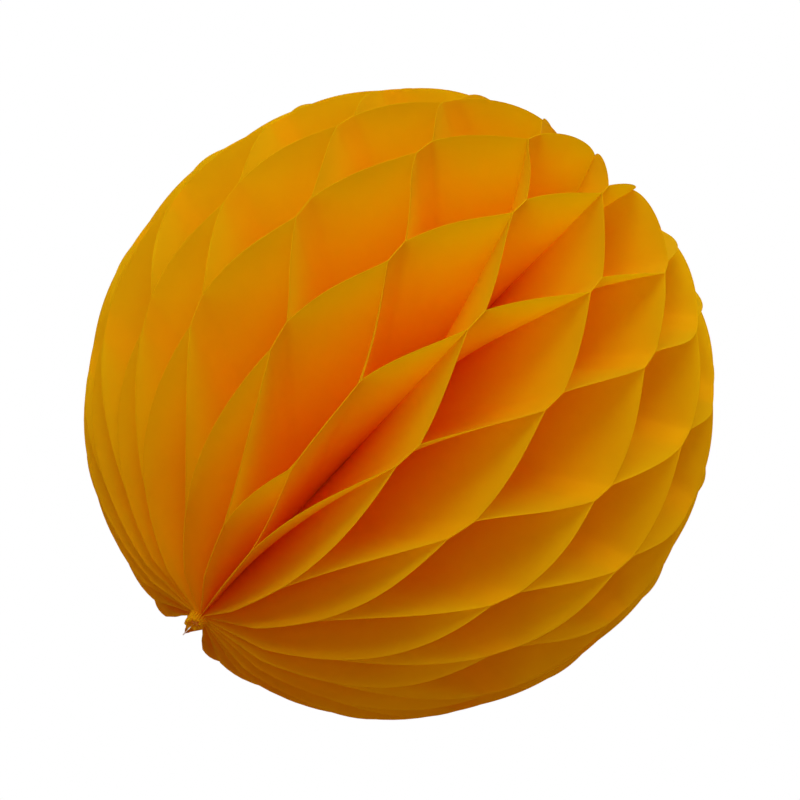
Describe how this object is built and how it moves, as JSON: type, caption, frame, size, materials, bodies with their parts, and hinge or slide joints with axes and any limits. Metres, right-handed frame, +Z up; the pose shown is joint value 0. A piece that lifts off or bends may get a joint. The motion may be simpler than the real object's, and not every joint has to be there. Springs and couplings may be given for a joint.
{
  "type": "paper honeycomb ball",
  "caption": "Hanging ball of zigzag tissue leaves in diamond cells round a spine, with cover cards that fold it flat.",
  "frame": {"origin": "centre of the ball, on the spine", "axes": "+Z up the spine to the hanging end, +Y from the spine to the seam where the two cover cards meet"},
  "size_m": [0.0998, 0.0999, 0.1034],
  "materials": {
    "tissue": "matte",
    "card": "matte",
    "adhesive": "matte",
    "thread": "matte"
  },
  "bodies": {
    "fixed_cover": {"cover_card_fixed": "card", "adhesive_strip_upper": "adhesive", "adhesive_strip_lower": "adhesive", "spine_thread": "thread", "top_knot": "thread", "bottom_knot": "thread"},
    "moving_cover": {"cover_card_moving": "card"},
    "leaf_01": {"tissue_leaf_01": "tissue"},
    "leaf_02": {"tissue_leaf_02": "tissue"},
    "leaf_03": {"tissue_leaf_03": "tissue"},
    "leaf_04": {"tissue_leaf_04": "tissue"},
    "leaf_05": {"tissue_leaf_05": "tissue"},
    "leaf_06": {"tissue_leaf_06": "tissue"},
    "leaf_07": {"tissue_leaf_07": "tissue"},
    "leaf_08": {"tissue_leaf_08": "tissue"},
    "leaf_09": {"tissue_leaf_09": "tissue"},
    "leaf_10": {"tissue_leaf_10": "tissue"},
    "leaf_11": {"tissue_leaf_11": "tissue"},
    "leaf_12": {"tissue_leaf_12": "tissue"},
    "leaf_13": {"tissue_leaf_13": "tissue"},
    "leaf_14": {"tissue_leaf_14": "tissue"},
    "leaf_15": {"tissue_leaf_15": "tissue"},
    "leaf_16": {"tissue_leaf_16": "tissue"},
    "leaf_17": {"tissue_leaf_17": "tissue"},
    "leaf_18": {"tissue_leaf_18": "tissue"},
    "leaf_19": {"tissue_leaf_19": "tissue"},
    "leaf_20": {"tissue_leaf_20": "tissue"},
    "leaf_21": {"tissue_leaf_21": "tissue"},
    "leaf_22": {"tissue_leaf_22": "tissue"},
    "leaf_23": {"tissue_leaf_23": "tissue"},
    "leaf_24": {"tissue_leaf_24": "tissue"},
    "leaf_25": {"tissue_leaf_25": "tissue"},
    "leaf_26": {"tissue_leaf_26": "tissue"},
    "leaf_27": {"tissue_leaf_27": "tissue"},
    "leaf_28": {"tissue_leaf_28": "tissue"},
    "leaf_29": {"tissue_leaf_29": "tissue"},
    "leaf_30": {"tissue_leaf_30": "tissue"},
    "leaf_31": {"tissue_leaf_31": "tissue"},
    "leaf_32": {"tissue_leaf_32": "tissue"},
    "leaf_33": {"tissue_leaf_33": "tissue"},
    "leaf_34": {"tissue_leaf_34": "tissue"},
    "leaf_35": {"tissue_leaf_35": "tissue"},
    "leaf_36": {"tissue_leaf_36": "tissue"},
    "leaf_37": {"tissue_leaf_37": "tissue"},
    "leaf_38": {"tissue_leaf_38": "tissue"},
    "leaf_39": {"tissue_leaf_39": "tissue"},
    "leaf_40": {"tissue_leaf_40": "tissue"}
  },
  "joints": [
    {"name": "fan_fold", "type": "hinge", "parent": "fixed_cover", "child": "moving_cover", "pos_m": [0, 0, 0], "axis": [0, 0, -1], "range_deg": [0, 350]},
    {"name": "leaf_01_turn", "type": "hinge", "parent": "fixed_cover", "child": "leaf_01", "pos_m": [0, 0, 0], "axis": [0, 0, -1], "range_deg": [0, 3.5], "deforming": ["tissue_leaf_01"]},
    {"name": "leaf_02_turn", "type": "hinge", "parent": "fixed_cover", "child": "leaf_02", "pos_m": [0, 0, 0], "axis": [0, 0, -1], "range_deg": [0, 12.3], "deforming": ["tissue_leaf_02"]},
    {"name": "leaf_03_turn", "type": "hinge", "parent": "fixed_cover", "child": "leaf_03", "pos_m": [0, 0, 0], "axis": [0, 0, -1], "range_deg": [0, 21.1], "deforming": ["tissue_leaf_03"]},
    {"name": "leaf_04_turn", "type": "hinge", "parent": "fixed_cover", "child": "leaf_04", "pos_m": [0, 0, 0], "axis": [0, 0, -1], "range_deg": [0, 29.9], "deforming": ["tissue_leaf_04"]},
    {"name": "leaf_05_turn", "type": "hinge", "parent": "fixed_cover", "child": "leaf_05", "pos_m": [0, 0, 0], "axis": [0, 0, -1], "range_deg": [0, 38.7], "deforming": ["tissue_leaf_05"]},
    {"name": "leaf_06_turn", "type": "hinge", "parent": "fixed_cover", "child": "leaf_06", "pos_m": [0, 0, 0], "axis": [0, 0, -1], "range_deg": [0, 47.5], "deforming": ["tissue_leaf_06"]},
    {"name": "leaf_07_turn", "type": "hinge", "parent": "fixed_cover", "child": "leaf_07", "pos_m": [0, 0, 0], "axis": [0, 0, -1], "range_deg": [0, 56.3], "deforming": ["tissue_leaf_07"]},
    {"name": "leaf_08_turn", "type": "hinge", "parent": "fixed_cover", "child": "leaf_08", "pos_m": [0, 0, 0], "axis": [0, 0, -1], "range_deg": [0, 65.1], "deforming": ["tissue_leaf_08"]},
    {"name": "leaf_09_turn", "type": "hinge", "parent": "fixed_cover", "child": "leaf_09", "pos_m": [0, 0, 0], "axis": [0, 0, -1], "range_deg": [0, 73.9], "deforming": ["tissue_leaf_09"]},
    {"name": "leaf_10_turn", "type": "hinge", "parent": "fixed_cover", "child": "leaf_10", "pos_m": [0, 0, 0], "axis": [0, 0, -1], "range_deg": [0, 82.7], "deforming": ["tissue_leaf_10"]},
    {"name": "leaf_11_turn", "type": "hinge", "parent": "fixed_cover", "child": "leaf_11", "pos_m": [0, 0, 0], "axis": [0, 0, -1], "range_deg": [0, 91.5], "deforming": ["tissue_leaf_11"]},
    {"name": "leaf_12_turn", "type": "hinge", "parent": "fixed_cover", "child": "leaf_12", "pos_m": [0, 0, 0], "axis": [0, 0, -1], "range_deg": [0, 100.3], "deforming": ["tissue_leaf_12"]},
    {"name": "leaf_13_turn", "type": "hinge", "parent": "fixed_cover", "child": "leaf_13", "pos_m": [0, 0, 0], "axis": [0, 0, -1], "range_deg": [0, 109.1], "deforming": ["tissue_leaf_13"]},
    {"name": "leaf_14_turn", "type": "hinge", "parent": "fixed_cover", "child": "leaf_14", "pos_m": [0, 0, 0], "axis": [0, 0, -1], "range_deg": [0, 117.9], "deforming": ["tissue_leaf_14"]},
    {"name": "leaf_15_turn", "type": "hinge", "parent": "fixed_cover", "child": "leaf_15", "pos_m": [0, 0, 0], "axis": [0, 0, -1], "range_deg": [0, 126.7], "deforming": ["tissue_leaf_15"]},
    {"name": "leaf_16_turn", "type": "hinge", "parent": "fixed_cover", "child": "leaf_16", "pos_m": [0, 0, 0], "axis": [0, 0, -1], "range_deg": [0, 135.5], "deforming": ["tissue_leaf_16"]},
    {"name": "leaf_17_turn", "type": "hinge", "parent": "fixed_cover", "child": "leaf_17", "pos_m": [0, 0, 0], "axis": [0, 0, -1], "range_deg": [0, 144.3], "deforming": ["tissue_leaf_17"]},
    {"name": "leaf_18_turn", "type": "hinge", "parent": "fixed_cover", "child": "leaf_18", "pos_m": [0, 0, 0], "axis": [0, 0, -1], "range_deg": [0, 153.1], "deforming": ["tissue_leaf_18"]},
    {"name": "leaf_19_turn", "type": "hinge", "parent": "fixed_cover", "child": "leaf_19", "pos_m": [0, 0, 0], "axis": [0, 0, -1], "range_deg": [0, 161.9], "deforming": ["tissue_leaf_19"]},
    {"name": "leaf_20_turn", "type": "hinge", "parent": "fixed_cover", "child": "leaf_20", "pos_m": [0, 0, 0], "axis": [0, 0, -1], "range_deg": [0, 170.7], "deforming": ["tissue_leaf_20"]},
    {"name": "leaf_21_turn", "type": "hinge", "parent": "fixed_cover", "child": "leaf_21", "pos_m": [0, 0, 0], "axis": [0, 0, -1], "range_deg": [0, 179.5], "deforming": ["tissue_leaf_21"]},
    {"name": "leaf_22_turn", "type": "hinge", "parent": "fixed_cover", "child": "leaf_22", "pos_m": [0, 0, 0], "axis": [0, 0, -1], "range_deg": [0, 188.3], "deforming": ["tissue_leaf_22"]},
    {"name": "leaf_23_turn", "type": "hinge", "parent": "fixed_cover", "child": "leaf_23", "pos_m": [0, 0, 0], "axis": [0, 0, -1], "range_deg": [0, 197.1], "deforming": ["tissue_leaf_23"]},
    {"name": "leaf_24_turn", "type": "hinge", "parent": "fixed_cover", "child": "leaf_24", "pos_m": [0, 0, 0], "axis": [0, 0, -1], "range_deg": [0, 205.9], "deforming": ["tissue_leaf_24"]},
    {"name": "leaf_25_turn", "type": "hinge", "parent": "fixed_cover", "child": "leaf_25", "pos_m": [0, 0, 0], "axis": [0, 0, -1], "range_deg": [0, 214.7], "deforming": ["tissue_leaf_25"]},
    {"name": "leaf_26_turn", "type": "hinge", "parent": "fixed_cover", "child": "leaf_26", "pos_m": [0, 0, 0], "axis": [0, 0, -1], "range_deg": [0, 223.5], "deforming": ["tissue_leaf_26"]},
    {"name": "leaf_27_turn", "type": "hinge", "parent": "fixed_cover", "child": "leaf_27", "pos_m": [0, 0, 0], "axis": [0, 0, -1], "range_deg": [0, 232.3], "deforming": ["tissue_leaf_27"]},
    {"name": "leaf_28_turn", "type": "hinge", "parent": "fixed_cover", "child": "leaf_28", "pos_m": [0, 0, 0], "axis": [0, 0, -1], "range_deg": [0, 241.1], "deforming": ["tissue_leaf_28"]},
    {"name": "leaf_29_turn", "type": "hinge", "parent": "fixed_cover", "child": "leaf_29", "pos_m": [0, 0, 0], "axis": [0, 0, -1], "range_deg": [0, 249.9], "deforming": ["tissue_leaf_29"]},
    {"name": "leaf_30_turn", "type": "hinge", "parent": "fixed_cover", "child": "leaf_30", "pos_m": [0, 0, 0], "axis": [0, 0, -1], "range_deg": [0, 258.7], "deforming": ["tissue_leaf_30"]},
    {"name": "leaf_31_turn", "type": "hinge", "parent": "fixed_cover", "child": "leaf_31", "pos_m": [0, 0, 0], "axis": [0, 0, -1], "range_deg": [0, 267.5], "deforming": ["tissue_leaf_31"]},
    {"name": "leaf_32_turn", "type": "hinge", "parent": "fixed_cover", "child": "leaf_32", "pos_m": [0, 0, 0], "axis": [0, 0, -1], "range_deg": [0, 276.3], "deforming": ["tissue_leaf_32"]},
    {"name": "leaf_33_turn", "type": "hinge", "parent": "fixed_cover", "child": "leaf_33", "pos_m": [0, 0, 0], "axis": [0, 0, -1], "range_deg": [0, 285.1], "deforming": ["tissue_leaf_33"]},
    {"name": "leaf_34_turn", "type": "hinge", "parent": "fixed_cover", "child": "leaf_34", "pos_m": [0, 0, 0], "axis": [0, 0, -1], "range_deg": [0, 293.9], "deforming": ["tissue_leaf_34"]},
    {"name": "leaf_35_turn", "type": "hinge", "parent": "fixed_cover", "child": "leaf_35", "pos_m": [0, 0, 0], "axis": [0, 0, -1], "range_deg": [0, 302.7], "deforming": ["tissue_leaf_35"]},
    {"name": "leaf_36_turn", "type": "hinge", "parent": "fixed_cover", "child": "leaf_36", "pos_m": [0, 0, 0], "axis": [0, 0, -1], "range_deg": [0, 311.5], "deforming": ["tissue_leaf_36"]},
    {"name": "leaf_37_turn", "type": "hinge", "parent": "fixed_cover", "child": "leaf_37", "pos_m": [0, 0, 0], "axis": [0, 0, -1], "range_deg": [0, 320.3], "deforming": ["tissue_leaf_37"]},
    {"name": "leaf_38_turn", "type": "hinge", "parent": "fixed_cover", "child": "leaf_38", "pos_m": [0, 0, 0], "axis": [0, 0, -1], "range_deg": [0, 329.1], "deforming": ["tissue_leaf_38"]},
    {"name": "leaf_39_turn", "type": "hinge", "parent": "fixed_cover", "child": "leaf_39", "pos_m": [0, 0, 0], "axis": [0, 0, -1], "range_deg": [0, 337.9], "deforming": ["tissue_leaf_39"]},
    {"name": "leaf_40_turn", "type": "hinge", "parent": "fixed_cover", "child": "leaf_40", "pos_m": [0, 0, 0], "axis": [0, 0, -1], "range_deg": [0, 346.7], "deforming": ["tissue_leaf_40"]}
  ],
  "couplings": [
    {"joint": "leaf_01_turn", "follows": "fan_fold", "ratio": 0.009714},
    {"joint": "leaf_02_turn", "follows": "fan_fold", "ratio": 0.034857},
    {"joint": "leaf_03_turn", "follows": "fan_fold", "ratio": 0.06},
    {"joint": "leaf_04_turn", "follows": "fan_fold", "ratio": 0.085143},
    {"joint": "leaf_05_turn", "follows": "fan_fold", "ratio": 0.11029},
    {"joint": "leaf_06_turn", "follows": "fan_fold", "ratio": 0.13543},
    {"joint": "leaf_07_turn", "follows": "fan_fold", "ratio": 0.16057},
    {"joint": "leaf_08_turn", "follows": "fan_fold", "ratio": 0.18571},
    {"joint": "leaf_09_turn", "follows": "fan_fold", "ratio": 0.21086},
    {"joint": "leaf_10_turn", "follows": "fan_fold", "ratio": 0.236},
    {"joint": "leaf_11_turn", "follows": "fan_fold", "ratio": 0.26114},
    {"joint": "leaf_12_turn", "follows": "fan_fold", "ratio": 0.28629},
    {"joint": "leaf_13_turn", "follows": "fan_fold", "ratio": 0.31143},
    {"joint": "leaf_14_turn", "follows": "fan_fold", "ratio": 0.33657},
    {"joint": "leaf_15_turn", "follows": "fan_fold", "ratio": 0.36171},
    {"joint": "leaf_16_turn", "follows": "fan_fold", "ratio": 0.38686},
    {"joint": "leaf_17_turn", "follows": "fan_fold", "ratio": 0.412},
    {"joint": "leaf_18_turn", "follows": "fan_fold", "ratio": 0.43714},
    {"joint": "leaf_19_turn", "follows": "fan_fold", "ratio": 0.46229},
    {"joint": "leaf_20_turn", "follows": "fan_fold", "ratio": 0.48743},
    {"joint": "leaf_21_turn", "follows": "fan_fold", "ratio": 0.51257},
    {"joint": "leaf_22_turn", "follows": "fan_fold", "ratio": 0.53771},
    {"joint": "leaf_23_turn", "follows": "fan_fold", "ratio": 0.56286},
    {"joint": "leaf_24_turn", "follows": "fan_fold", "ratio": 0.588},
    {"joint": "leaf_25_turn", "follows": "fan_fold", "ratio": 0.61314},
    {"joint": "leaf_26_turn", "follows": "fan_fold", "ratio": 0.63829},
    {"joint": "leaf_27_turn", "follows": "fan_fold", "ratio": 0.66343},
    {"joint": "leaf_28_turn", "follows": "fan_fold", "ratio": 0.68857},
    {"joint": "leaf_29_turn", "follows": "fan_fold", "ratio": 0.71371},
    {"joint": "leaf_30_turn", "follows": "fan_fold", "ratio": 0.73886},
    {"joint": "leaf_31_turn", "follows": "fan_fold", "ratio": 0.764},
    {"joint": "leaf_32_turn", "follows": "fan_fold", "ratio": 0.78914},
    {"joint": "leaf_33_turn", "follows": "fan_fold", "ratio": 0.81429},
    {"joint": "leaf_34_turn", "follows": "fan_fold", "ratio": 0.83943},
    {"joint": "leaf_35_turn", "follows": "fan_fold", "ratio": 0.86457},
    {"joint": "leaf_36_turn", "follows": "fan_fold", "ratio": 0.88971},
    {"joint": "leaf_37_turn", "follows": "fan_fold", "ratio": 0.91486},
    {"joint": "leaf_38_turn", "follows": "fan_fold", "ratio": 0.94},
    {"joint": "leaf_39_turn", "follows": "fan_fold", "ratio": 0.96514},
    {"joint": "leaf_40_turn", "follows": "fan_fold", "ratio": 0.99029}
  ]
}
